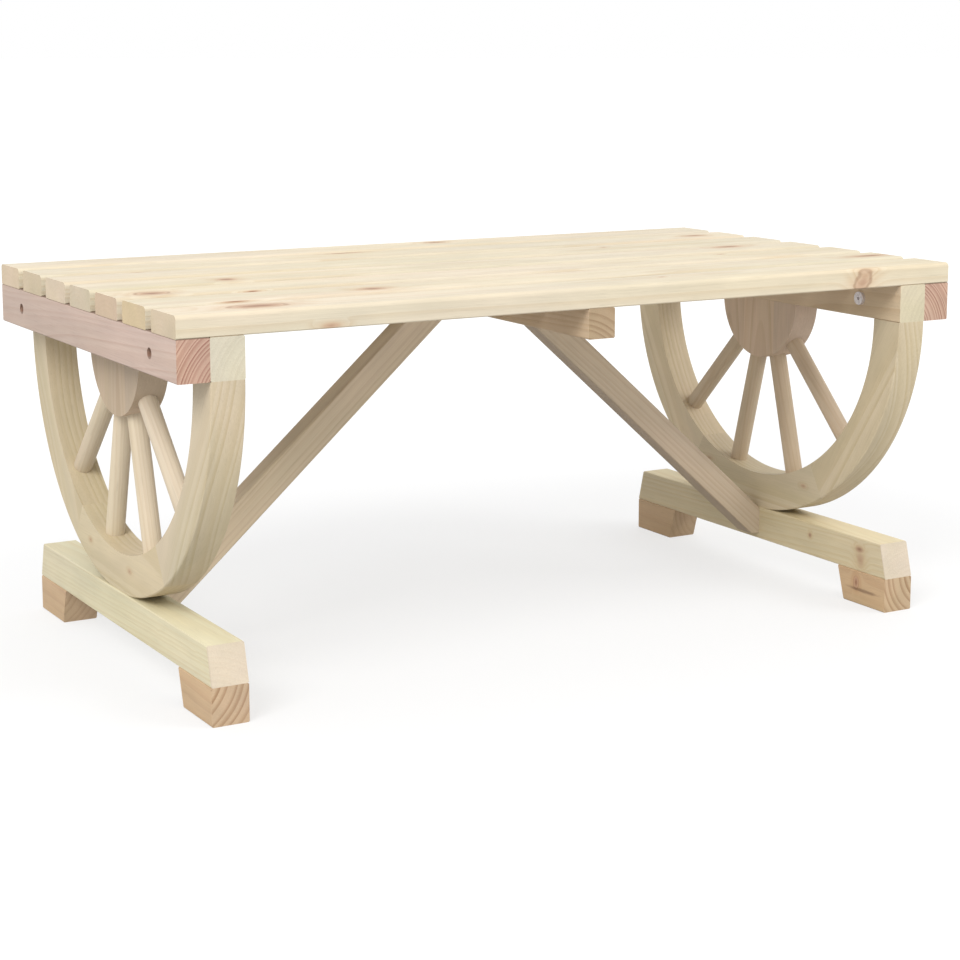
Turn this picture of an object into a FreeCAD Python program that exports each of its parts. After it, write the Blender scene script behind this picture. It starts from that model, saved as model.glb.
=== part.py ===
import FreeCAD, Part
import math
import os

# Garden table: a slatted top on two half wagon wheels, each standing on a beam with two feet.
# X runs along the table, Y across it, Z up. The origin is on the floor under the middle of the top.
# All sizes are in millimetres and degrees.

# Top
table_length = 1000.0
slat_count = 7
slat_width = 66.0
slat_thickness = 24.0
slat_gap = 16.0
slat_round = 5.0
end_rail_thickness = 36.0
end_rail_height = 45.0
middle_rail_width = 34.0
middle_rail_height = 34.0

# Half wheels
bar_thickness = 38.0
bar_height = 45.0
rim_thickness = 38.0
rim_width = 47.0
rim_flat = 2.0
felloe_count = 3
hub_radius = 77.0
hub_thickness = 35.0
hub_middle_stave = 64.0
spoke_diameter = 22.0
spoke_count = 4
spoke_seat = 18.0

# Base
beam_width = 42.0
beam_height = 42.0
beam_length = 538.0
beam_end_angle = 15.0
foot_height = 42.0
foot_length = 90.0
foot_end_angle = 17.0

# Braces
brace_width = 30.0
brace_depth = 34.0
brace_shoulder = 6.0
brace_toe_lift = 8.0

# Eased edges of the sawn pieces
edge_ease = 1.2

# Furniture bolts, and the six-sided nuts for them in holes drilled from outside the end rails
bolt_offset = 206.0
bolt_diameter = 6.0
bolt_head_diameter = 16.0
bolt_head_height = 4.0
bolt_socket_width = 4.0
bolt_socket_depth = 2.5
bolt_end_reach = 2.5
nut_width = 10.0
nut_thickness = 5.0
nut_hole_depth = 20.0

# Loose tongues glued into slots across the joints of the wheels
tongue_thickness = 8.0
tongue_length = 36.0
rim_tongue_width = 30.0
hub_tongue_width = 24.0

# Clearances, measured across a hole or slot
drill_clearance = 0.6
seat_clearance = 0.2

# Levels and places that follow from the sizes above
slat_pitch = slat_width + slat_gap
table_width = slat_count * slat_width + (slat_count - 1) * slat_gap
rim_radius = table_width / 2
rim_inner_radius = rim_radius - rim_width
rim_middle_radius = rim_radius - rim_width / 2
felloe_span = 180 / felloe_count
beam_bottom = foot_height
beam_top = beam_bottom + beam_height
wheel_centre = beam_top + rim_radius - rim_flat
slat_bottom = wheel_centre + bar_height
end_rail_bottom = slat_bottom - end_rail_height
middle_rail_bottom = slat_bottom - middle_rail_height
bar_inner_face = table_length / 2 - end_rail_thickness - bar_thickness
wheel_plane = bar_inner_face + bar_thickness / 2
beam_inner_face = wheel_plane - beam_width / 2
bolt_level = slat_bottom - min(bar_height, end_rail_height) / 2
bolt_grip = bar_thickness + end_rail_thickness - nut_hole_depth
nut_hole_diameter = nut_width * 2 / math.sqrt(3) + drill_clearance

ALONG = FreeCAD.Vector(1, 0, 0)
ACROSS = FreeCAD.Vector(0, 1, 0)
UP = FreeCAD.Vector(0, 0, 1)
ORIGIN = FreeCAD.Vector(0, 0, 0)
SIDES = (("left", -1), ("right", 1))

pieces = {}
fasteners = {}


def point(x, y, z):
    return FreeCAD.Vector(x, y, z)


def placed(form, seat, direction):
    """A copy of a form that was made at the origin along +Z, moved to seat and turned along direction."""
    copy = form.copy()
    copy.Placement = FreeCAD.Placement(seat, FreeCAD.Rotation(UP, direction))
    return copy


def prism(corners, sweep):
    """A solid swept from the closed outline through the corners."""
    return Part.Face(Part.makePolygon(corners + corners[:1])).extrude(sweep)


def runs_along(edge, axis):
    """True for a straight edge that is parallel to the axis."""
    if not isinstance(edge.Curve, Part.Line):
        return False
    return abs(abs(edge.Curve.Direction.dot(axis)) - 1) < 1e-6


def on_tread(edge):
    """True for an edge that is an arc on the outside of a rim."""
    return isinstance(edge.Curve, Part.Circle) and abs(edge.Curve.Radius - rim_radius) < 1e-6


def eased(blank, chosen):
    """The blank with a narrow bevel along the chosen edges."""
    return blank.makeChamfer(edge_ease, [edge for edge in blank.Edges if chosen(edge)])


def cross_plank(width, height):
    """A sawn bar that runs across the whole table, standing on z = 0, with eased long edges."""
    blank = Part.makeBox(width, table_width, height, point(-width / 2, -table_width / 2, 0))
    return eased(blank, lambda edge: runs_along(edge, ACROSS))


def wheel_point(x, radius, angle):
    """A point in the plane of a wheel. The angle is measured from straight down, towards +Y."""
    turn = math.radians(angle)
    return point(x, radius * math.sin(turn), wheel_centre - radius * math.cos(turn))


def wheel_arc(x, radius, start, end):
    """An arc about the middle of a wheel."""
    middle = (start + end) / 2
    return Part.Arc(*[wheel_point(x, radius, angle) for angle in (start, middle, end)]).toShape()


def slat_place(number):
    """The middle of a slat across the table, counted from the front."""
    return (number - (slat_count - 1) / 2) * slat_pitch


def make_slats():
    """The boards of the top, rounded along their upper edges and eased along the lower ones."""
    corner = point(-table_length / 2, -slat_width / 2, slat_bottom)
    board = Part.makeBox(table_length, slat_width, slat_thickness, corner)
    upper = [e for e in board.Edges if runs_along(e, ALONG) and e.CenterOfMass.z > board.CenterOfMass.z]
    board = board.makeFillet(slat_round, upper)
    board = eased(board, lambda e: runs_along(e, ALONG) and e.CenterOfMass.z < slat_bottom + 1e-6)
    for number in range(slat_count):
        slat = board.copy()
        slat.translate(point(0, slat_place(number), 0))
        pieces[f"slat_{number + 1}"] = slat


def make_rails():
    """The rails across the underside: one at each end and one in the middle."""
    for side, sign in SIDES:
        rail = cross_plank(end_rail_thickness, end_rail_height)
        rail.translate(point(sign * (table_length - end_rail_thickness) / 2, 0, end_rail_bottom))
        pieces[f"{side}_end_rail"] = rail
    rail = cross_plank(middle_rail_width, middle_rail_height)
    rail.translate(point(0, 0, middle_rail_bottom))
    pieces["middle_rail"] = rail


def make_bars():
    """The bar across the top of each half wheel, beside the end rail."""
    for side, sign in SIDES:
        bar = cross_plank(bar_thickness, bar_height)
        bar.translate(point(sign * wheel_plane, 0, wheel_centre))
        pieces[f"{side}_wheel_bar"] = bar


def spoke_angles():
    """Directions of the spokes, spread evenly over the half wheel."""
    step = 180 / (spoke_count + 2)
    return [(number - (spoke_count - 1) / 2) * step for number in range(spoke_count)]


def spoke_rod(x, angle, diameter):
    """A rod from the bottom of a spoke's socket in the hub to the bottom of its socket in the rim."""
    inner = wheel_point(x, hub_radius - spoke_seat, angle)
    outer = wheel_point(x, rim_inner_radius + spoke_seat, angle)
    return Part.makeCylinder(diameter / 2, (outer - inner).Length, inner, outer - inner)


def spoke_sockets(x):
    """The holes in hub and rim that take the ends of the spokes."""
    diameter = spoke_diameter + seat_clearance
    return Part.makeCompound([spoke_rod(x, angle, diameter) for angle in spoke_angles()])


def felloe_outline(x, start, end):
    """The outline of one curved piece of the rim."""
    edges = [
        wheel_arc(x, rim_radius, start, end),
        Part.makeLine(wheel_point(x, rim_radius, end), wheel_point(x, rim_inner_radius, end)),
        wheel_arc(x, rim_inner_radius, end, start),
        Part.makeLine(wheel_point(x, rim_inner_radius, start), wheel_point(x, rim_radius, start)),
    ]
    return Part.Face(Part.Wire(edges))


def make_rims():
    """Each half rim: felloes sawn to the curve, with sockets for the spokes and a flat on the beam."""
    for side, sign in SIDES:
        middle = sign * wheel_plane
        near = middle - rim_thickness / 2
        planed_off = Part.makeBox(
            rim_thickness, table_width, rim_flat, point(near, -table_width / 2, beam_top - rim_flat)
        )
        for number in range(felloe_count):
            start = -90 + number * felloe_span
            blank = felloe_outline(near, start, start + felloe_span).extrude(ALONG * rim_thickness)
            felloe = eased(blank, on_tread).cut(planed_off).cut(spoke_sockets(middle))
            pieces[f"{side}_felloe_{number + 1}"] = felloe


def hub_staves():
    """Names of the staves of a hub, with the places across the table where each starts and ends."""
    seam = hub_middle_stave / 2
    return (("front", -hub_radius, -seam), ("middle", -seam, seam), ("back", seam, hub_radius))


def make_hubs():
    """Each half hub: a half disc glued up from three upright staves."""
    for side, sign in SIDES:
        middle = sign * wheel_plane
        near = middle - hub_thickness / 2
        outline = Part.Wire([
            wheel_arc(near, hub_radius, -90, 90),
            Part.makeLine(wheel_point(near, hub_radius, 90), wheel_point(near, hub_radius, -90)),
        ])
        blank = Part.Face(outline).extrude(ALONG * hub_thickness)
        half_disc = blank.cut(spoke_sockets(middle))
        for name, start, end in hub_staves():
            stave_box = Part.makeBox(
                hub_thickness, end - start, hub_radius, point(near, start, wheel_centre - hub_radius)
            )
            pieces[f"{side}_hub_{name}_stave"] = half_disc.common(stave_box)


def make_spokes():
    """Round spokes between hub and rim, seated to the bottoms of their sockets."""
    for side, sign in SIDES:
        for number, angle in enumerate(spoke_angles()):
            pieces[f"{side}_spoke_{number + 1}"] = spoke_rod(sign * wheel_plane, angle, spoke_diameter)


def make_beams():
    """The beam under each half wheel, shorter along the top than along the bottom."""
    slope = beam_height * math.tan(math.radians(beam_end_angle))
    low = beam_length / 2
    high = low - slope
    for side, sign in SIDES:
        near = sign * wheel_plane - beam_width / 2
        corners = [
            point(near, -low, beam_bottom),
            point(near, low, beam_bottom),
            point(near, high, beam_top),
            point(near, -high, beam_top),
        ]
        blank = prism(corners, ALONG * beam_width)
        pieces[f"{side}_beam"] = eased(blank, lambda edge: runs_along(edge, ACROSS))


def make_feet():
    """A block under each end of a beam, flush with its end, with the inner end cut back at a slope."""
    slope = foot_height * math.tan(math.radians(foot_end_angle))
    for side, sign in SIDES:
        near = sign * wheel_plane - beam_width / 2
        for end, way in (("front", -1), ("back", 1)):
            outer = way * beam_length / 2
            corners = [
                point(near, outer, 0),
                point(near, outer, foot_height),
                point(near, outer - way * foot_length, foot_height),
                point(near, outer - way * (foot_length - slope), 0),
            ]
            blank = prism(corners, ALONG * beam_width)
            pieces[f"{side}_{end}_foot"] = eased(blank, lambda edge: runs_along(edge, ACROSS))


def make_braces():
    """The sloping braces from the middle of the top to the beams.

    The lower face of a brace starts at the middle rail, a shoulder's height below the slats, and
    its upper face ends at the top edge of the beam.
    """
    start_x = middle_rail_width / 2
    start_z = slat_bottom - brace_shoulder
    run = beam_inner_face - start_x
    drop = start_z - beam_top
    slope = math.tan(math.atan2(drop, run) + math.asin(brace_depth / math.hypot(run, drop)))
    toe = beam_bottom + brace_toe_lift
    outline = [
        (start_x, start_z),
        (start_x, slat_bottom),
        (beam_inner_face - (slat_bottom - beam_top) / slope, slat_bottom),
        (beam_inner_face, beam_top),
        (beam_inner_face, toe),
        (start_x + (start_z - toe) / slope, toe),
    ]
    for side, sign in SIDES:
        corners = [point(sign * x, -brace_width / 2, z) for x, z in outline]
        blank = prism(corners, ACROSS * brace_width)
        down = point(sign, 0, -slope).normalize()
        pieces[f"{side}_brace"] = eased(blank, lambda edge: runs_along(edge, down))


def tongue_block(middle, direction, width, clearance):
    """A flat block across a joint: half its length on each side, its thickness along the axle line."""
    size = point(tongue_thickness + clearance, width + clearance, tongue_length)
    return placed(Part.makeBox(*size, size * -0.5), middle, direction)


def fit_tongue(first, second, middle, direction, width):
    """One loose tongue between two pieces, with a slot for it in each."""
    slot = tongue_block(middle, direction, width, seat_clearance)
    for name in (first, second):
        pieces[name] = pieces[name].cut(slot)
    return tongue_block(middle, direction, width, 0)


def fit_tongues():
    """Tongues at the felloe joints, and between each wheel bar and the rim and hub below it."""
    fasteners["felloe_tongues"] = []
    fasteners["bar_tongues"] = []
    for side, sign in SIDES:
        middle = sign * wheel_plane
        for number in range(1, felloe_count):
            angle = -90 + number * felloe_span
            seam = wheel_point(middle, rim_middle_radius, angle)
            tangent = wheel_point(0, 1, angle + 90) - point(0, 0, wheel_centre)
            joined = f"{side}_felloe_{number}", f"{side}_felloe_{number + 1}"
            fasteners["felloe_tongues"].append(fit_tongue(*joined, seam, tangent, rim_tongue_width))
        below = [
            (f"{side}_felloe_1", -rim_middle_radius, rim_tongue_width),
            (f"{side}_felloe_{felloe_count}", rim_middle_radius, rim_tongue_width),
        ]
        below += [
            (f"{side}_hub_{name}_stave", (start + end) / 2, hub_tongue_width)
            for name, start, end in hub_staves()
        ]
        for name, y, width in below:
            seam = point(middle, y, wheel_centre)
            fasteners["bar_tongues"].append(fit_tongue(f"{side}_wheel_bar", name, seam, UP, width))


def six_sided(width, height, start):
    """A six-sided bar along +Z, measured across its flats."""
    corner = point(width / math.sqrt(3), 0, start)
    corners = [FreeCAD.Rotation(UP, 60 * turn).multVec(corner) for turn in range(6)]
    return prism(corners, UP * height)


def bolt_form():
    """A round-headed bolt along +Z with a six-sided socket, the underside of its head at z = 0."""
    shank = Part.makeCylinder(bolt_diameter / 2, bolt_grip + nut_thickness + bolt_end_reach)
    head = Part.makeCylinder(bolt_head_diameter / 2, bolt_head_height, ORIGIN, -UP)
    return head.fuse(shank).cut(six_sided(bolt_socket_width, bolt_socket_depth, -bolt_head_height))


def bolt_bars():
    """Two bolts through each wheel bar and end rail, with nuts deep in the outer face of the rail."""
    fasteners["bar_bolts"] = []
    fasteners["bar_nuts"] = []
    hole = Part.makeCylinder((bolt_diameter + drill_clearance) / 2, bolt_grip)
    nut_hole = Part.makeCylinder(nut_hole_diameter / 2, nut_hole_depth, UP * bolt_grip)
    bore = Part.makeCylinder((bolt_diameter + seat_clearance) / 2, nut_thickness, UP * bolt_grip)
    nut = six_sided(nut_width, nut_thickness, bolt_grip).cut(bore)
    for side, sign in SIDES:
        outwards = ALONG * sign
        bar = f"{side}_wheel_bar"
        rail = f"{side}_end_rail"
        for way in (-1, 1):
            seat = point(sign * bar_inner_face, way * bolt_offset, bolt_level)
            pieces[bar] = pieces[bar].cut(placed(hole, seat, outwards))
            pieces[rail] = pieces[rail].cut(placed(hole.fuse(nut_hole), seat, outwards))
            fasteners["bar_bolts"].append(placed(bolt_form(), seat, outwards))
            fasteners["bar_nuts"].append(placed(nut, seat, outwards))


make_slats()
make_rails()
make_bars()
make_rims()
make_hubs()
make_spokes()
make_beams()
make_feet()
make_braces()
fit_tongues()
bolt_bars()

os.makedirs("parts", exist_ok=True)
for name, shape in pieces.items():
    shape.exportStep(f"parts/{name}.step")
for name, solids in fasteners.items():
    Part.makeCompound(solids).exportStep(f"parts/{name}.step")
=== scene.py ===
import math
from collections import namedtuple

import bmesh
import bpy
from mathutils import Matrix, Vector


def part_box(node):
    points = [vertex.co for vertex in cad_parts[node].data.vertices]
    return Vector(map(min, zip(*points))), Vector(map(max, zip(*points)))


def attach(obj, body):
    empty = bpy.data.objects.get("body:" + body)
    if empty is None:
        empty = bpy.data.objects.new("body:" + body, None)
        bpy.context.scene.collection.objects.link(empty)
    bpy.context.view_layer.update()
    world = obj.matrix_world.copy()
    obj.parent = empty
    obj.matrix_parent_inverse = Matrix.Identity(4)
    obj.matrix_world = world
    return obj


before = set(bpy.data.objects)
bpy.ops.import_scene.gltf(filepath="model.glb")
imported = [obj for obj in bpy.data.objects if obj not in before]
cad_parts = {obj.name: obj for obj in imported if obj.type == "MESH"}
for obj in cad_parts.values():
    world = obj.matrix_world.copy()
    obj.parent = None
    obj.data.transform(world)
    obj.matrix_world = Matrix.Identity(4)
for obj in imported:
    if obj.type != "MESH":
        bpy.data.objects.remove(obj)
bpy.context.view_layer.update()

# Feet
# Four pine blocks sawn off a square batten, with the inner end cut back on the slant.
# They are screwed up into the beams from below and show wide brown year rings on their ends.

# A kind of pine: the pale and the dark of its year rings in the long grain and on sawn ends, how
# strongly the rings show in each, the width of a ring, and how fast the trunk tapers.
Wood = namedtuple("Wood", "pale dark end_pale end_dark lines end_lines ring lean")
# A knot: its middle and its half sizes along the axes of the frame, and its slant in degrees.
Knot = namedtuple("Knot", "middle half slant", defaults=(0.0,))
SIDES = (("left", -1), ("right", 1))
ENDS = (("front", -1), ("back", 1))
ACROSS = Vector((0, 1, 0))


def handed(offset, way):
    """An offset meant for the right side of the table, mirrored when the way is to the left."""
    return Vector((way * offset.x, offset.y, offset.z))


def tint(red, green, blue):
    """A display colour, 0 to 255, as the linear colour that a shader takes."""
    shares = [value / 255 for value in (red, green, blue)]
    lights = [s / 12.92 if s <= 0.04045 else ((s + 0.055) / 1.055) ** 2.4 for s in shares]
    return (*lights, 1.0)


def add(tree, kind, sockets=None, **settings):
    """A new shader node with its settings, and a link or a value for each of its named sockets."""
    node = tree.nodes.new("ShaderNode" + kind)
    for name, value in settings.items():
        setattr(node, name, value)
    for name, value in (sockets or {}).items():
        if isinstance(value, bpy.types.NodeSocket):
            tree.links.new(value, node.inputs[name])
        else:
            node.inputs[name].default_value = value
    return node


def calc(tree, operation, *values):
    """One step of arithmetic on numbers."""
    return add(tree, "Math", dict(enumerate(values)), operation=operation).outputs[0]


def steer(tree, operation, *values):
    """One step of arithmetic on vectors."""
    node = add(tree, "VectorMath", dict(enumerate(values)), operation=operation)
    return node.outputs["Value" if operation in ("LENGTH", "DOT_PRODUCT") else "Vector"]


def rise(tree, value, low, high, start=0.0, end=1.0):
    """A smooth change from start, where the value is low, to end, where it is high."""
    sockets = {"Value": value, "From Min": low, "From Max": high, "To Min": start, "To Max": end}
    return add(tree, "MapRange", sockets, interpolation_type="SMOOTHSTEP").outputs["Result"]


def blend(tree, share, first, second, mode="MIX"):
    """Two colours mixed."""
    sockets = {0: share, 6: first, 7: second}
    return add(tree, "Mix", sockets, data_type="RGBA", blend_type=mode).outputs[2]


def clouds(tree, place, per_metre, detail=2.0):
    """Soft noise, with so many clouds to a metre along each axis."""
    stretched = steer(tree, "MULTIPLY", place, per_metre)
    return add(tree, "TexNoise", {"Vector": stretched, "Scale": 1.0, "Detail": detail}).outputs


def reach(tree, place, middle, half, slant=0.0):
    """How far out a place lies from the middle of a lump, counted in the lump's own half sizes."""
    turn = (0, math.radians(slant), 0)
    sockets = {"Vector": place, "Location": middle, "Rotation": turn, "Scale": half}
    return steer(tree, "LENGTH", add(tree, "Mapping", sockets, vector_type="TEXTURE").outputs[0])


# Clouds to a metre, along the grain and across it.
HEART_CLOUDS = (1.4, 6.0, 6.0)
KNOT_EDGE_CLOUDS = (45.0, 90.0, 90.0)
FIBRE_CLOUDS = (14.0, 620.0, 620.0)
FLECK_CLOUDS = (38.0, 900.0, 900.0)
TONE_CLOUDS = (3.0, 17.0, 17.0)
MOTTLE_CLOUDS = (16.0, 42.0, 42.0)
NOISE_MEAN = 0.5
# Year rings: how far the heart wanders, how many rings swell out round a knot and how soon that
# fades, how uneven the rings are, and where in a ring the late wood begins and ends.
HEART_WANDER = (0.0, 0.018, 0.018)
KNOT_RAGGEDNESS = 0.55
KNOT_RINGS = 3.2
KNOT_FADE = 0.55
RING_UNEVENNESS = 2.2
UNEVEN_PER_RING = 0.45
LATE_WOOD_START = (0.25, 0.9)
LATE_WOOD_END = (1.0, 0.93)
PALEST_YEAR = 0.35
# How far each kind of noise changes the light of the wood, and the warmth of its red, green and blue.
TONE_SPAN = 0.26
MOTTLE_SPAN = 0.16
FIBRE_SPAN = 0.17
FLECK_SPAN = -0.07
FLECK_EDGE = (0.66, 0.78)
WARMTH_SPAN = (0.06, 0.05, 0.16)
# Each part of a knot: its colour, its strength, and the reaches between which it comes up.
HALO = tint(238, 216, 198)
HALO_SHARE = 0.45
HALO_EDGE = (2.4, 0.8)
BRANCH_HEART = tint(128, 90, 68)
BRANCH_WOOD = tint(176, 142, 117)
BRANCH_FADE = (0.05, 0.85)
BRANCH_SHARE = 0.85
BRANCH_EDGE = (1.25, 0.45)
BARK = tint(122, 84, 60)
BARK_SHARE = 0.4
BARK_REACH = 0.95
BARK_EDGE = (0.16, 0.03)
BARK_BREAKS = (0.45, 0.62)
# Dark brown, for a real bark streak and for painted shade, and the most of it that shows.
STAIN_AND_SHADE = tint(92, 66, 50)
STAIN_AND_SHADE_SHARE = 0.8
# Roughness of the planed wood, and what late wood, fibres and sawn ends add to it.
PLANED_ROUGHNESS = 0.62
LATE_ROUGHNESS = -0.08
FIBRE_ROUGHNESS = 0.15
END_ROUGHNESS = 0.16
# How far late wood, fibres and knots stand up, as shares of the relief.
LATE_RELIEF = 0.6
FIBRE_RELIEF = 0.9
KNOT_RELIEF = 0.5
KNOT_RELIEF_EDGE = (1.1, 0.8)


def make_pine_figure():
    """Node group: colour, gloss and relief of pine at a point of a board whose grain runs along X."""
    tree = bpy.data.node_groups.new("pine_figure", "ShaderNodeTree")
    floats = ("Ring", "Lean", "Knot", "Knot Tone", "Stain And Shade", "End", "Lines", "End Lines")
    colours = ("Pale", "Dark", "End Pale", "End Dark")
    kinds = {"Float": floats, "Color": colours, "Vector": ("Point", "Seed", "Pith")}
    for kind, names in kinds.items():
        for name in names:
            tree.interface.new_socket(name, in_out="INPUT", socket_type="NodeSocket" + kind)
    for name, kind in (("Color", "Color"), ("Roughness", "Float"), ("Height", "Float")):
        tree.interface.new_socket(name, in_out="OUTPUT", socket_type="NodeSocket" + kind)
    given = tree.nodes.new("NodeGroupInput").outputs
    result = tree.nodes.new("NodeGroupOutput").inputs

    def times(first, second):
        return calc(tree, "MULTIPLY", first, second)

    def plus(base, value, weight):
        return calc(tree, "MULTIPLY_ADD", value, weight, base)

    def unevenness(noise):
        return calc(tree, "SUBTRACT", noise["Fac"], NOISE_MEAN)

    def wandering(noise, spans):
        off_mean = steer(tree, "SUBTRACT", noise["Color"], (NOISE_MEAN, NOISE_MEAN, NOISE_MEAN))
        return steer(tree, "MULTIPLY", off_mean, spans)

    # The trunk's heart wanders a little along the board, and the rings swell round the knots.
    seeded = steer(tree, "ADD", given["Point"], given["Seed"])
    wander = wandering(clouds(tree, seeded, HEART_CLOUDS), HEART_WANDER)
    from_pith = steer(tree, "SUBTRACT", steer(tree, "ADD", given["Point"], wander), given["Pith"])
    radius = steer(tree, "LENGTH", steer(tree, "MULTIPLY", from_pith, (0.0, 1.0, 1.0)))
    lengthwise = add(tree, "SeparateXYZ", {"Vector": given["Point"]}).outputs["X"]
    radius = plus(radius, lengthwise, given["Lean"])
    ragged = unevenness(clouds(tree, seeded, KNOT_EDGE_CLOUDS))
    knot = plus(given["Knot"], ragged, KNOT_RAGGEDNESS)
    swell = calc(tree, "EXPONENT", times(times(knot, knot), -KNOT_FADE))
    rings = plus(calc(tree, "DIVIDE", radius, given["Ring"]), swell, KNOT_RINGS)
    sockets = {"W": rings, "Scale": UNEVEN_PER_RING, "Detail": 1.0}
    width = add(tree, "TexNoise", sockets, noise_dimensions="1D").outputs["Fac"]
    rings = plus(rings, width, RING_UNEVENNESS)

    # Each ring darkens slowly towards its late wood and then ends at once.
    phase = calc(tree, "FRACT", rings)
    late = times(rise(tree, phase, *LATE_WOOD_START), rise(tree, phase, *LATE_WOOD_END))
    count = {"W": calc(tree, "FLOOR", rings)}
    year = add(tree, "TexWhiteNoise", count, noise_dimensions="1D").outputs["Value"]
    late = times(late, plus(PALEST_YEAR, year, 1.0 - PALEST_YEAR))

    # Fibres, resin flecks and slow changes of tone over the board.
    fibre = unevenness(clouds(tree, seeded, FIBRE_CLOUDS))
    fleck = rise(tree, clouds(tree, seeded, FLECK_CLOUDS, detail=0.0)["Fac"], *FLECK_EDGE)
    tone = clouds(tree, seeded, TONE_CLOUDS)
    light = plus(1.0, unevenness(tone), TONE_SPAN)
    light = plus(light, unevenness(clouds(tree, seeded, MOTTLE_CLOUDS)), MOTTLE_SPAN)
    light = plus(light, fibre, FIBRE_SPAN)
    light = plus(light, fleck, FLECK_SPAN)
    grey = add(tree, "CombineXYZ", {"X": light, "Y": light, "Z": light}).outputs[0]
    cast = steer(tree, "ADD", grey, wandering(tone, WARMTH_SPAN))

    long_grain = blend(tree, times(late, given["Lines"]), given["Pale"], given["Dark"])
    end_lines = times(late, given["End Lines"])
    end_grain = blend(tree, end_lines, given["End Pale"], given["End Dark"])
    wood = blend(tree, given["End"], long_grain, end_grain)
    wood = blend(tree, 1.0, wood, cast, "MULTIPLY")

    # Knots: a tan halo, branch wood that darkens to its heart, and a broken line of bark round it.
    halo = times(rise(tree, knot, *HALO_EDGE), times(given["Knot Tone"], HALO_SHARE))
    wood = blend(tree, halo, wood, blend(tree, 1.0, wood, HALO, "MULTIPLY"))
    branch = blend(tree, rise(tree, knot, *BRANCH_FADE), BRANCH_HEART, BRANCH_WOOD)
    core = times(rise(tree, knot, *BRANCH_EDGE), times(given["Knot Tone"], BRANCH_SHARE))
    wood = blend(tree, core, wood, branch)
    from_bark = calc(tree, "ABSOLUTE", calc(tree, "SUBTRACT", knot, BARK_REACH))
    bark = times(rise(tree, from_bark, *BARK_EDGE), rise(tree, tone["Fac"], *BARK_BREAKS))
    bark = times(bark, times(given["Knot Tone"], BARK_SHARE))
    wood = blend(tree, bark, wood, BARK)
    # Dark brown by the given share: a real bark streak in one foot, and painted shade in holes, along a
    # joint and on shaded faces.
    wood = blend(tree, times(given["Stain And Shade"], STAIN_AND_SHADE_SHARE), wood, STAIN_AND_SHADE)

    # Late wood is the glossier and stands proud; sawn ends are the roughest.
    gloss = plus(PLANED_ROUGHNESS, late, LATE_ROUGHNESS)
    gloss = plus(gloss, fibre, FIBRE_ROUGHNESS)
    gloss = plus(gloss, given["End"], END_ROUGHNESS)
    relief = plus(times(late, LATE_RELIEF), fibre, FIBRE_RELIEF)
    relief = plus(relief, rise(tree, knot, *KNOT_RELIEF_EDGE), KNOT_RELIEF)
    for name, value in (("Color", wood), ("Roughness", gloss), ("Height", relief)):
        tree.links.new(value, result[name])
    return tree


PINE_FIGURE = make_pine_figure()
# The reach where there is no knot.
NO_KNOT = 9.0
# How far apart in the noise two boards lie.
BOARD_STEP = Vector((3.1, 1.7, 2.3))
# How square to the grain a face is where its end grain begins to show, and where it is all end grain.
END_FACING = (0.6, 0.9)
RELIEF_HEIGHT = 0.0006
RELIEF_STRENGTH = 0.35
PINE_SHEEN = 0.3


def pine(piece, wood, grain, pith, knots=(), knot_tone=1.0, stain_and_shade=None):
    """Gives a piece of the frame its own board of pine.

    The grain is the direction of the trunk, and the pith is its heart, as an offset from the middle of
    the piece in metres. The knot tone is the strength of the knots. Stain and shade, where given, makes
    the share of dark brown from the shader tree and the place: for a real stain and for painted shade.
    """
    low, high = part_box(piece)
    grain = Vector(grain).normalized()
    side = grain.orthogonal().normalized()
    turn = Matrix((grain, side, grain.cross(side))).transposed()
    seed = BOARD_STEP * len(bpy.data.materials)
    material = bpy.data.materials.new(piece)
    material.use_nodes = True
    tree = material.node_tree
    tree.nodes.clear()
    place = add(tree, "TexCoord").outputs["Object"]
    sockets = {"Vector": place, "Location": (low + high) / 2, "Rotation": turn.to_euler()}
    board = add(tree, "Mapping", sockets, vector_type="TEXTURE").outputs["Vector"]
    facing = steer(tree, "DOT_PRODUCT", add(tree, "NewGeometry").outputs["Normal"], grain)
    nearest = NO_KNOT
    for knot in knots:
        nearest = calc(tree, "MINIMUM", nearest, reach(tree, place, *knot))
    figure = add(tree, "Group", {
        "Point": board,
        "Seed": seed,
        "Pith": turn.transposed() @ Vector(pith),
        "Ring": wood.ring,
        "Lean": wood.lean,
        "Knot": nearest,
        "Knot Tone": knot_tone,
        "Stain And Shade": stain_and_shade(tree, place) if stain_and_shade else 0.0,
        "End": rise(tree, calc(tree, "ABSOLUTE", facing), *END_FACING),
        "Lines": wood.lines,
        "End Lines": wood.end_lines,
        "Pale": wood.pale,
        "Dark": wood.dark,
        "End Pale": wood.end_pale,
        "End Dark": wood.end_dark,
    }, node_tree=PINE_FIGURE).outputs
    sockets = {"Height": figure["Height"], "Strength": RELIEF_STRENGTH, "Distance": RELIEF_HEIGHT}
    bump = add(tree, "Bump", sockets)
    shader = add(tree, "BsdfPrincipled", {
        "Base Color": figure["Color"],
        "Roughness": figure["Roughness"],
        "Normal": bump.outputs["Normal"],
        "Specular IOR Level": PINE_SHEEN,
    })
    add(tree, "OutputMaterial", {"Surface": shader.outputs["BSDF"]})
    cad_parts[piece].material_slots[0].material = material


FOOT_WOOD = Wood(
    pale=tint(182, 155, 123), dark=tint(160, 124, 92),
    end_pale=tint(184, 159, 130), end_dark=tint(139, 105, 73),
    lines=0.28, end_lines=0.75, ring=0.0085, lean=0.03,
)
FOOT_WOODS = {"front": FOOT_WOOD, "back": FOOT_WOOD._replace(end_lines=0.3)}
FOOT_HEART = Vector((0.060, 0, 0.034))
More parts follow.
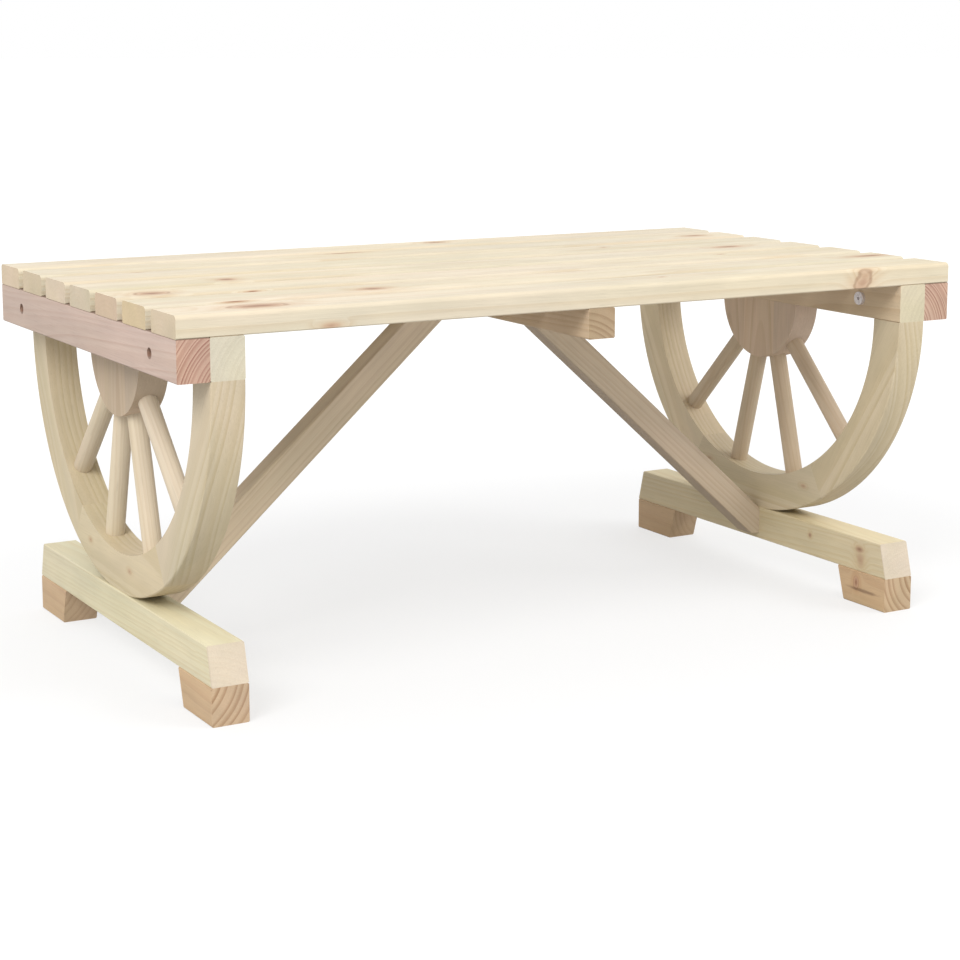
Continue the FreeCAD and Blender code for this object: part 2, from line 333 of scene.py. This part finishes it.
# One foot has a short branch in its inner face, over a thin streak of bark that grew into the wood.
STREAKED_FOOT = "right_front_foot"
STREAKED_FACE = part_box(STREAKED_FOOT)[0].x
FOOT_BRANCH = Knot(Vector((STREAKED_FACE, -0.215, 0.027)), Vector((0.008, 0.0055, 0.009)))
STREAK_MIDDLE = Vector((STREAKED_FACE, -0.229, 0.0188))
STREAK_HALF = Vector((0.006, 0.046, 0.0034))
STREAK_CLOUDS = (60.0, 60.0, 300.0)
STREAK_RAGGEDNESS = 0.8
STREAK_EDGE = (1.3, 0.7)
STREAK_SHARE = 0.7


def bark_streak(tree, place):
    """The ragged dark line of the bark."""
    outwards = reach(tree, place, STREAK_MIDDLE, STREAK_HALF)
    ragged = clouds(tree, place, STREAK_CLOUDS)["Fac"]
    outwards = calc(tree, "MULTIPLY_ADD", ragged, STREAK_RAGGEDNESS, outwards)
    return rise(tree, outwards, *STREAK_EDGE, 0.0, STREAK_SHARE)


for side, way in SIDES:
    for end, _ in ENDS:
        foot = f"{side}_{end}_foot"
        knots, stain_and_shade = ((FOOT_BRANCH,), bark_streak) if foot == STREAKED_FOOT else ((), None)
        pine(foot, FOOT_WOODS[end], ACROSS, handed(FOOT_HEART, way), knots, stain_and_shade=stain_and_shade)

# Beams
# One square pine beam lies across under each half wheel, its ends sawn to a slope.
# The rim stands on it and is screwed to it from below.

ALONG = Vector((1, 0, 0))
BEAM_WOOD = Wood(
    pale=tint(208, 200, 169), dark=tint(191, 173, 130),
    end_pale=tint(194, 181, 160), end_dark=tint(184, 164, 139),
    lines=0.42, end_lines=0.15, ring=0.006, lean=0.025,
)
# Painted shade: the right beam, in shade under the table, is made browner.
BEAM_TONES = {"left": (1.0, 1.0, 1.0), "right": (1.03, 0.97, 0.93)}
BEAM_HEART = Vector((0.02, 0, -0.055))
# Painted shade on each beam's face that looks to the left, so that it is darker than the lit top, and
# the depth in which it fades: most on the right beam's inner face, in shade under the table.
BEAM_SIDE_SHADE = {"left": 0.19, "right": 0.30}
SIDE_SHADE_DEPTH = 0.002
# Knots in the inner face of a beam: place across the table, height over the beam's middle, distance
# of the knot's middle outside the face, and half sizes.
BEAM_KNOTS = (
    (-0.122, 0.0050, 0.000, Vector((0.020, 0.0036, 0.0034))),
    (-0.220, 0.0070, 0.000, Vector((0.020, 0.0085, 0.0045))),
    (-0.222, -0.0065, 0.010, Vector((0.014, 0.0090, 0.0130))),
)
BEAM_KNOT_TONE = 0.85


def toned(wood, *shares):
    """The same wood, its long grain's red, green and blue scaled: another tree, and painted light and
    shade.
    """
    shares = (*shares, 1.0)
    pale = tuple(colour * share for colour, share in zip(wood.pale, shares))
    dark = tuple(colour * share for colour, share in zip(wood.dark, shares))
    return wood._replace(pale=pale, dark=dark)


def painted_side_shade(surface, inwards, share):
    """Painted shade on one face of a board, the one facing against inwards, as its stain and shade."""
    def stain_and_shade(tree, place):
        depth = steer(tree, "DOT_PRODUCT", steer(tree, "SUBTRACT", place, surface), inwards)
        return rise(tree, depth, SIDE_SHADE_DEPTH, 0.0, 0.0, share)
    return stain_and_shade


for side, way in SIDES:
    low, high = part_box(f"{side}_beam")
    face = low.x if way > 0 else high.x
    middle = (low.z + high.z) / 2
    knots = [
        Knot(Vector((face - way * outside, across, middle + above)), half)
        for across, above, outside, half in BEAM_KNOTS
    ]
    wood = toned(BEAM_WOOD, *BEAM_TONES[side])
    side_shade = painted_side_shade(low, ALONG, BEAM_SIDE_SHADE[side])
    pine(f"{side}_beam", wood, ACROSS, handed(BEAM_HEART, way), knots, BEAM_KNOT_TONE, side_shade)

# Rims
# Three curved felloes, bandsawn from straight pine boards, make each half rim; they meet end to end
# on loose tongues. The grain of a felloe follows its chord.

RIM_WOOD = Wood(
    pale=tint(187, 173, 147), dark=tint(163, 144, 106),
    end_pale=tint(187, 169, 145), end_dark=tint(160, 134, 99),
    lines=0.44, end_lines=0.35, ring=0.0085, lean=0.02,
)
# Painted light: the right felloes are lightened, the back one most, against the shade of the table top
# over them. The left ones differ a little in tone.
RIM_TONES = {
    "left_felloe_1": (0.96, 0.97, 0.98),
    "left_felloe_2": (1.01, 1.01, 0.96),
    "left_felloe_3": (1.0, 1.0, 0.96),
    "right_felloe_1": (1.0, 1.0, 1.0),
    "right_felloe_2": (1.06, 1.06, 1.05),
    "right_felloe_3": (1.19, 1.18, 1.16),
}
RIM_HEART_IN = 0.03
RIM_HEART_ASIDE = 0.11
FELLOE_ANGLES = (-60, 0, 60)
# The half wheels have their centres level with the underside of the bars that close them.
WHEEL_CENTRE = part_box("left_wheel_bar")[0].z
# Knots by felloe: angle round the wheel, radius, half length and half height.
RIM_KNOTS = {
    "left_felloe_2": ((21, 0.254, 0.005, 0.003), (-8, 0.250, 0.006, 0.003)),
    "right_felloe_2": ((-24, 0.254, 0.006, 0.003), (24, 0.252, 0.009, 0.003)),
}
RIM_KNOT_TONE = 0.6
# A half size that takes a knot right through a board.
THROUGH = 0.06
for side, way in SIDES:
    for number, angle in enumerate(FELLOE_ANGLES, 1):
        felloe = f"{side}_felloe_{number}"
        turn = math.radians(angle)
        chord = Vector((0, math.cos(turn), math.sin(turn)))
        inwards = Vector((0, -math.sin(turn), math.cos(turn)))
        heart = inwards * RIM_HEART_IN + ALONG * (way * RIM_HEART_ASIDE)
        low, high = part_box(felloe)
        knots = []
        for around, radius, long, tall in RIM_KNOTS.get(felloe, ()):
            spot = Matrix.Rotation(math.radians(around), 3, "X") @ Vector((0, 0, -radius))
            middle = Vector(((low.x + high.x) / 2, spot.y, WHEEL_CENTRE + spot.z))
            knots.append(Knot(middle, Vector((THROUGH, long, tall))))
        pine(felloe, toned(RIM_WOOD, *RIM_TONES[felloe]), chord, heart, knots, RIM_KNOT_TONE)

# Hubs
# Three upright pine staves, edge-glued and sawn to a half disc, make each half hub.
# Its curved edge is bored for the spokes and shows end grain at the bottom.

UP = Vector((0, 0, 1))
HUB_WOOD = Wood(
    pale=tint(187, 167, 142), dark=tint(160, 135, 104),
    end_pale=tint(191, 169, 145), end_dark=tint(170, 142, 115),
    lines=0.42, end_lines=0.3, ring=0.0045, lean=0.03,
)
# The front stave is of a smoother, greyer board.
HUB_FRONT_WOOD = toned(HUB_WOOD, 0.93, 0.94, 0.97)._replace(lines=0.12)
HUB_STAVES = (("front", HUB_FRONT_WOOD), ("middle", HUB_WOOD), ("back", HUB_WOOD))
# Painted light and shade: the left hub is darkened, and the right one, in shade under the table,
# lightened.
HUB_TONES = {"left": (0.86, 0.86, 0.86), "right": (1.12, 1.10, 1.12)}
HUB_HEART_ASIDE = 0.045
# Across the table the hearts lie a step apart, counted from between the middle and back staves.
HUB_HEART_STEP = 0.02
HUB_HEART_START = 1.4
for side, way in SIDES:
    for number, (stave, wood) in enumerate(HUB_STAVES):
        across = HUB_HEART_STEP * (number - HUB_HEART_START)
        heart = Vector((way * HUB_HEART_ASIDE, across, 0))
        pine(f"{side}_hub_{stave}_stave", toned(wood, *HUB_TONES[side]), UP, heart)

# Spokes
# Four round pine rods to a half wheel, turned with the grain along the rod.
# Each is glued into a socket in the hub and another in the rim.

SPOKE_WOOD = Wood(
    pale=tint(196, 180, 156), dark=tint(175, 149, 119),
    end_pale=tint(191, 171, 147), end_dark=tint(167, 142, 114),
    lines=0.3, end_lines=0.4, ring=0.0035, lean=0.02,
)
# Painted shade: the right spokes, in shade under the table, are made darker and browner than the left.
SPOKE_TONES = {"left": (0.98, 1.01, 1.02), "right": (0.92, 0.89, 0.86)}
SPOKE_HEART = Vector((0.022, 0, 0))
SPOKE_ANGLES = (-45, -15, 15, 45)
for side, _ in SIDES:
    for number, angle in enumerate(SPOKE_ANGLES, 1):
        turn = math.radians(angle)
        rod = Vector((0, math.sin(turn), -math.cos(turn)))
        pine(f"{side}_spoke_{number}", toned(SPOKE_WOOD, *SPOKE_TONES[side]), rod, SPOKE_HEART)

# Wheel bars
# A flat pine bar closes the top of each half wheel; rim ends and hub are glued to its underside
# on loose tongues, and it is bolted to the end rail.

BAR_ENDS = {"left": tint(190, 183, 162), "right": tint(196, 185, 159)}
BAR_HEART = Vector((0.05, 0, -0.03))
for side, _ in SIDES:
    wood = Wood(
        pale=tint(188, 168, 141), dark=tint(162, 134, 101),
        end_pale=BAR_ENDS[side], end_dark=tint(172, 160, 137),
        lines=0.4, end_lines=0.22, ring=0.007, lean=0.02,
    )
    pine(f"{side}_wheel_bar", wood, ACROSS, BAR_HEART)

# Loose tongues
# Flat strips of pine that join the felloes to each other, and rim and hub to the wheel bar.
# They are glued into slots cut in both sides of a joint, and hidden once it is closed.

TONGUE_WOOD = Wood(
    pale=tint(206, 184, 146), dark=tint(182, 152, 110),
    end_pale=tint(198, 174, 136), end_dark=tint(172, 142, 100),
    lines=0.5, end_lines=0.5, ring=0.003, lean=0.0,
)
TONGUE_HEART = Vector((0.03, 0, 0))
for tongues in ("felloe_tongues", "bar_tongues"):
    pine(tongues, TONGUE_WOOD, UP, TONGUE_HEART)

# End rails
# A pinkish pine rail runs under the ends of the slats, flush with them, outside each wheel bar.
# Its sawn ends show strong reddish rings, and two bolt holes come through its outer face.

RAIL_ENDS = {"left": tint(179, 148, 129), "right": tint(187, 157, 137)}
RAIL_HEART = Vector((-0.055, 0, -0.038))
BOLT_OFFSET = 0.206
# Painted shade: the radius and soft edge of the dark in each bolt hole, and the depth and strength of
# the dark line under the slats.
HOLE_RADIUS = 0.0064
HOLE_EDGE = 0.0008
JOINT_LINE = 0.0012
JOINT_SHADE = 0.8


def rail_painted_shade(tree, place):
    """Painted shade in the drilled holes, and a thin painted line of shade along the top, where the
    slats lie.
    """
    spot = add(tree, "SeparateXYZ", {"Vector": place}).outputs
    low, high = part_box("left_end_rail")
    offset = calc(tree, "SUBTRACT", calc(tree, "ABSOLUTE", spot["Y"]), BOLT_OFFSET)
    level = calc(tree, "SUBTRACT", spot["Z"], (low.z + high.z) / 2)
    from_axis = add(tree, "CombineXYZ", {"X": offset, "Y": level}).outputs[0]
    hole_shade = rise(tree, steer(tree, "LENGTH", from_axis), HOLE_RADIUS, HOLE_RADIUS - HOLE_EDGE)
    depth = calc(tree, "SUBTRACT", high.z, spot["Z"])
    return calc(tree, "MAXIMUM", hole_shade, rise(tree, depth, JOINT_LINE, 0.0, 0.0, JOINT_SHADE))


for side, way in SIDES:
    wood = Wood(
        pale=tint(178, 158, 146), dark=tint(159, 130, 116),
        end_pale=RAIL_ENDS[side], end_dark=tint(133, 86, 71),
        lines=0.42, end_lines=0.85, ring=0.0042, lean=0.03,
    )
    pine(f"{side}_end_rail", wood, ACROSS, handed(RAIL_HEART, way), stain_and_shade=rail_painted_shade)

# Bolts and nuts
# Four zinc-plated furniture bolts with round heads and six-sided sockets hold the wheel bars to the
# end rails, each in a nut sunk in the rail.

ZINC_GREY = tint(204, 198, 200)
ZINC_PALE = tint(224, 219, 219)
ZINC_CLOUDS = (420.0, 420.0, 420.0)
ZINC_CLOUD_EDGE = (0.35, 0.65)
ZINC_METAL = 0.6
ZINC_ROUGHNESS = (0.36, 0.52)
SCRATCH_CLOUDS = (900.0, 2600.0, 300.0)
SCRATCH_EDGE = (0.3, 0.7)
SCRATCH_HEIGHT = 0.0002
SCRATCH_STRENGTH = 0.2


def make_zinc():
    """Dull zinc plating: a cool grey metal with a cloudy finish and fine scratches."""
    material = bpy.data.materials.new("zinc_plating")
    material.use_nodes = True
    tree = material.node_tree
    tree.nodes.clear()
    place = add(tree, "TexCoord").outputs["Object"]
    cloudy = rise(tree, clouds(tree, place, ZINC_CLOUDS)["Fac"], *ZINC_CLOUD_EDGE)
    scratches = clouds(tree, place, SCRATCH_CLOUDS)["Fac"]
    sockets = {"Height": scratches, "Strength": SCRATCH_STRENGTH, "Distance": SCRATCH_HEIGHT}
    bump = add(tree, "Bump", sockets)
    shader = add(tree, "BsdfPrincipled", {
        "Base Color": blend(tree, cloudy, ZINC_GREY, ZINC_PALE),
        "Metallic": ZINC_METAL,
        "Roughness": rise(tree, scratches, *SCRATCH_EDGE, *ZINC_ROUGHNESS),
        "Normal": bump.outputs["Normal"],
    })
    add(tree, "OutputMaterial", {"Surface": shader.outputs["BSDF"]})
    return material


ZINC = make_zinc()
for metal in ("bar_bolts", "bar_nuts"):
    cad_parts[metal].material_slots[0].material = ZINC

# Middle rail
# One square pine batten runs across under the slats at half length.
# It is screwed to every slat, keeps them level and takes the upper ends of the braces.

MIDDLE_WOOD = Wood(
    pale=tint(187, 165, 138), dark=tint(162, 135, 102),
    end_pale=tint(160, 139, 111), end_dark=tint(122, 97, 68),
    lines=0.5, end_lines=0.7, ring=0.0075, lean=0.02,
)
MIDDLE_HEART = Vector((-0.03, 0, -0.07))
pine("middle_rail", MIDDLE_WOOD, ACROSS, MIDDLE_HEART)

# Braces
# A pine strut slopes from the middle rail down to each beam and stiffens the table lengthwise.
# Its ends are sawn to lie flat under the slats, against the rail and against the beam, and screwed.

BRACE_WOOD = Wood(
    pale=tint(202, 185, 161), dark=tint(164, 134, 107),
    end_pale=tint(191, 172, 146), end_dark=tint(164, 136, 107),
    lines=0.30, end_lines=0.4, ring=0.0062, lean=0.012,
)
# Painted shade: the right brace, in shade under the table, is made darker than the left.
BRACE_TONES = {"left": (0.97, 0.97, 0.95), "right": (0.91, 0.91, 0.90)}
# Painted shade darkens the upper side of the left brace and the lower side of the right brace.
BRACE_SIDE_SHADE = {"left": 0.06, "right": 0.42}
BRACE_HEART_IN = 0.05
BRACE_HEART_ASIDE = 0.012
SAME_HEIGHT = 1e-4
for side, way in SIDES:
    brace = f"{side}_brace"
    low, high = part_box(brace)
    corners = [vertex.co.copy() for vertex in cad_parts[brace].data.vertices]
    shoulder = max(way * corner.x for corner in corners if corner.z > high.z - SAME_HEIGHT)
    toe = max(way * low.x, way * high.x)
    _, beam_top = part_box(f"{side}_beam")
    slope = Vector((way * (toe - shoulder), 0, beam_top.z - high.z))
    inwards = slope.cross(ACROSS).normalized()
    heart = inwards * BRACE_HEART_IN + ACROSS * BRACE_HEART_ASIDE
    side_shade = painted_side_shade(min(corners, key=inwards.dot), inwards, BRACE_SIDE_SHADE[side])
    pine(brace, toned(BRACE_WOOD, *BRACE_TONES[side]), slope, heart, stain_and_shade=side_shade)

# Top slats
# Seven pine boards, planed and rounded along their upper edges, make the top with open gaps between.
# They are screwed from below through the three rails, and each has the knots of its own tree.

SLAT_COUNT = 7
# End grain by slat, counted from the front.
SLAT_ENDS = {
    1: tint(184, 169, 145),
    2: tint(188, 169, 137),
    3: tint(181, 161, 139),
    4: tint(184, 171, 149),
    5: tint(191, 176, 154),
    6: tint(188, 172, 147),
    7: tint(191, 174, 150),
}
# Knots by slat, counted from the front: place along the table, offset from the slat's middle, half
# length and half width.
SLAT_KNOTS = {
    1: ((-0.396, 0.000, 0.034, 0.014), (0.110, 0.012, 0.006, 0.003)),
    2: ((-0.229, -0.007, 0.022, 0.012), (-0.400, -0.031, 0.016, 0.001), (0.468, -0.003, 0.034, 0.010)),
    3: ((-0.452, -0.010, 0.021, 0.014), (-0.345, -0.032, 0.010, 0.001), (0.320, 0.022, 0.006, 0.003)),
    4: ((-0.330, -0.011, 0.014, 0.013), (0.385, 0.014, 0.026, 0.010)),
    5: ((-0.391, 0.029, 0.010, 0.004), (0.240, 0.005, 0.006, 0.003)),
    6: ((-0.084, 0.025, 0.028, 0.006), (0.437, -0.002, 0.020, 0.009)),
    7: ((0.083, 0.009, 0.016, 0.008),),
}
# Knots in the front edge of the first slat: place along the table, distance of the knot's middle
# outside the edge, height over the slat's middle, half sizes and slant.
FRONT_EDGE_KNOTS = (
    (0.369, 0.0082, -0.001, Vector((0.0150, 0.012, 0.030)), 25),
    (-0.329, 0.0060, -0.009, Vector((0.0140, 0.010, 0.004)), 0),
)
# From slat to slat the tree's heart swings to and fro, lies at three depths, and leans up or down.
SLAT_HEART_SWING = 0.014
SLAT_HEART_TURN = 2.1
SLAT_HEART_DEPTH = 0.030
SLAT_DEPTH_STEP = 0.006
SLAT_DEPTHS = 3
SLAT_LEAN = 0.012
SLAT_LEAN_TURN = 1.7
for number in range(1, SLAT_COUNT + 1):
    slat = f"slat_{number}"
    low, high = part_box(slat)
    middle = (low + high) / 2
    knots = [
        Knot(Vector((x, middle.y + offset, middle.z)), Vector((long, wide, THROUGH)))
        for x, offset, long, wide in SLAT_KNOTS[number]
    ]
    if number == 1:
        knots += [
            Knot(Vector((x, low.y - outside, middle.z + above)), half, slant)
            for x, outside, above, half, slant in FRONT_EDGE_KNOTS
        ]
    swing = SLAT_HEART_SWING * math.sin(number * SLAT_HEART_TURN)
    depth = SLAT_HEART_DEPTH + SLAT_DEPTH_STEP * (number % SLAT_DEPTHS)
    wood = Wood(
        pale=tint(200, 189, 167), dark=tint(184, 163, 131),
        end_pale=SLAT_ENDS[number], end_dark=tint(173, 150, 119),
        lines=0.5, end_lines=0.15, ring=0.0055, lean=SLAT_LEAN * math.cos(number * SLAT_LEAN_TURN),
    )
    pine(slat, wood, ALONG, Vector((0, swing, -depth)), knots)

# Wood screws
# Zinc-plated cross-head screws hold the rest, all driven from below: through the three rails into
# every slat, and through the beams into the rims. Only their heads show.

HEAD_RADIUS = 0.0040
HEAD_RISE = 0.0016
HEAD_ROUND = 0.96
HEAD_SUNK = 0.0002
HEAD_POINTS = 32
HEAD_RINGS = (0.12, 0.22, 0.34, 0.46, 0.56, 0.72, 0.88, 1.0)
RECESS_REACH = 0.0021
RECESS_HALF_WIDTH = 0.0006
RECESS_DEPTH = 0.0011
RECESS_TAPER = 0.7
RIM_SCREW_OFFSET = 0.020


def add_screw_head(mesh, seat, outwards):
    """One low round head with a cross recess, closed underneath and sunk a hair into its seat."""
    turn = outwards.to_track_quat("Z", "X").to_matrix()

    def point(x, y, z):
        return mesh.verts.new(seat + turn @ Vector((x, y, z)))

    middle = point(0, 0, HEAD_RISE - RECESS_DEPTH)
    inner = None
    for share in HEAD_RINGS:
        ring = []
        radius = share * HEAD_RADIUS
        for step in range(HEAD_POINTS):
            angle = math.tau * step / HEAD_POINTS
            x, y = radius * math.cos(angle), radius * math.sin(angle)
            height = HEAD_RISE * math.sqrt(1 - HEAD_ROUND * share ** 2)
            if radius < RECESS_REACH and min(abs(x), abs(y)) < RECESS_HALF_WIDTH:
                height -= RECESS_DEPTH * (1 - RECESS_TAPER * radius / RECESS_REACH)
            ring.append(point(x, y, height))
        for step in range(HEAD_POINTS):
            following = (step + 1) % HEAD_POINTS
            if inner is None:
                mesh.faces.new((middle, ring[step], ring[following]))
            else:
                mesh.faces.new((inner[step], ring[step], ring[following], inner[following]))
        inner = ring
    foot = [mesh.verts.new(vertex.co) for vertex in inner]
    for vertex in foot:
        height = (vertex.co - seat).dot(outwards.normalized())
        vertex.co -= outwards.normalized() * (height + HEAD_SUNK)
    for step in range(HEAD_POINTS):
        following = (step + 1) % HEAD_POINTS
        mesh.faces.new((inner[step], foot[step], foot[following], inner[following]))
    mesh.faces.new(reversed(foot))


def fit_screws(name, seats):
    """A group of like screw heads as one piece."""
    mesh = bmesh.new()
    for seat in seats:
        add_screw_head(mesh, seat, -UP)
    for face in mesh.faces:
        face.smooth = True
    screws = bpy.data.objects.new(name, bpy.data.meshes.new(name))
    mesh.to_mesh(screws.data)
    mesh.free()
    bpy.context.scene.collection.objects.link(screws)
    screws.data.materials.append(ZINC)
    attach(screws, "root")


slat_boxes = [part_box(f"slat_{number}") for number in range(1, SLAT_COUNT + 1)]
slat_middles = [(low.y + high.y) / 2 for low, high in slat_boxes]
for rail in ("left_end_rail", "middle_rail", "right_end_rail"):
    low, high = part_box(rail)
    fit_screws(f"{rail}_screws", [Vector(((low.x + high.x) / 2, y, low.z)) for y in slat_middles])
for side, _ in SIDES:
    low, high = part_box(f"{side}_beam")
    offsets = [end_way * RIM_SCREW_OFFSET for _, end_way in ENDS]
    fit_screws(f"{side}_beam_screws", [Vector(((low.x + high.x) / 2, y, low.z)) for y in offsets])

# Floor
# A plain white shooting table in two sheets: a white one, lit from below, that the camera sees with
# pale shadows, and under it a matt grey one that throws the light back up at the table.

FLOOR_RADIUS = 60.0
FLOOR_POINTS = 64
SHEET_GAP = 0.001
SHEET_ROUGHNESS = 0.9
WHITE_SHEET = (0.24, 0.24, 0.24, 1.0)
GREY_SHEET = (0.56, 0.56, 0.56, 1.0)
# The glow from below, near the table and away from it.
NEAR_RADIUS = 0.6
NEAR_GLOW = 0.64
FAR_RADIUS = 2.4
FAR_GLOW = 0.78


def lay_sheet(name, level):
    """A flat round sheet with a material of its own; gives the sheet and the material's shader tree."""
    mesh = bmesh.new()
    bmesh.ops.create_circle(mesh, cap_ends=True, segments=FLOOR_POINTS, radius=FLOOR_RADIUS)
    sheet = bpy.data.objects.new(name, bpy.data.meshes.new(name))
    mesh.to_mesh(sheet.data)
    mesh.free()
    sheet.location.z = level
    bpy.context.scene.collection.objects.link(sheet)
    material = bpy.data.materials.new(name)
    material.use_nodes = True
    material.node_tree.nodes.clear()
    sheet.data.materials.append(material)
    return sheet, material.node_tree


white_sheet, tree = lay_sheet("white_sheet", 0)
white_sheet.visible_diffuse = False
white_sheet.visible_glossy = False
white_sheet.visible_shadow = False
distance = steer(tree, "LENGTH", add(tree, "TexCoord").outputs["Object"])
shader = add(tree, "BsdfPrincipled", {
    "Base Color": WHITE_SHEET,
    "Roughness": SHEET_ROUGHNESS,
    "Emission Color": (1.0, 1.0, 1.0, 1.0),
    "Emission Strength": rise(tree, distance, NEAR_RADIUS, FAR_RADIUS, NEAR_GLOW, FAR_GLOW),
})
add(tree, "OutputMaterial", {"Surface": shader.outputs["BSDF"]})

grey_sheet, tree = lay_sheet("grey_sheet", -SHEET_GAP)
grey_sheet.visible_camera = False
shader = add(tree, "BsdfPrincipled", {"Base Color": GREY_SHEET, "Roughness": SHEET_ROUGHNESS})
add(tree, "OutputMaterial", {"Surface": shader.outputs["BSDF"]})

# Light
# A white studio all round, with a large soft box on the left in front of the table and a weaker one
# on the right, both well away from it, so that the two ends get the same light.

STUDIO_WHITE = (1.0, 1.0, 1.0, 1.0)
STUDIO_STRENGTH = 1.0
studio = bpy.data.worlds.new("studio")
studio.use_nodes = True
studio.node_tree.nodes["Background"].inputs["Color"].default_value = STUDIO_WHITE
studio.node_tree.nodes["Background"].inputs["Strength"].default_value = STUDIO_STRENGTH
bpy.context.scene.world = studio
LIT_POINT = Vector((0, 0, 0.25))
SOFT_BOX_DISTANCE = 8.0
SOFT_BOX_SIZE = 3.6
# Each soft box: its name, how far round it stands from straight in front towards the right, its
# height angle, and its power.
SOFT_BOXES = (("left_soft_box", -55, 37, 420.0), ("right_soft_box", 48, 36, 200.0))
for name, round_angle, height_angle, power in SOFT_BOXES:
    around, above = math.radians(round_angle), math.radians(height_angle)
    level = Vector((math.sin(around), -math.cos(around), 0))
    towards = level * math.cos(above) + UP * math.sin(above)
    soft_box = bpy.data.objects.new(name, bpy.data.lights.new(name, "AREA"))
    soft_box.data.energy = power
    soft_box.data.size = SOFT_BOX_SIZE
    soft_box.location = LIT_POINT + towards * SOFT_BOX_DISTANCE
    soft_box.rotation_euler = (-towards).to_track_quat("-Z", "Y").to_euler()
    bpy.context.scene.collection.objects.link(soft_box)
bpy.context.scene.view_settings.view_transform = "Standard"

# Camera
# The photograph's view: from the front left, a little above the top, with a long lens.
# The lens is shifted a little, so that upright edges stay nearly parallel.

CAMERA_PLACE = Vector((-1.2773, -2.2349, 0.7028))
CAMERA_YAW = 29.851
CAMERA_PITCH = 9.283
CAMERA_LENS = 80.18
CAMERA_SHIFT = -0.10
camera = bpy.data.objects.new("camera", bpy.data.cameras.new("camera"))
camera.data.lens = CAMERA_LENS
camera.data.shift_y = CAMERA_SHIFT
camera.data.clip_end = 2 * FLOOR_RADIUS
camera.location = CAMERA_PLACE
camera.rotation_euler = (math.radians(90 - CAMERA_PITCH), 0, math.radians(-CAMERA_YAW))
bpy.context.scene.collection.objects.link(camera)
bpy.context.scene.camera = camera
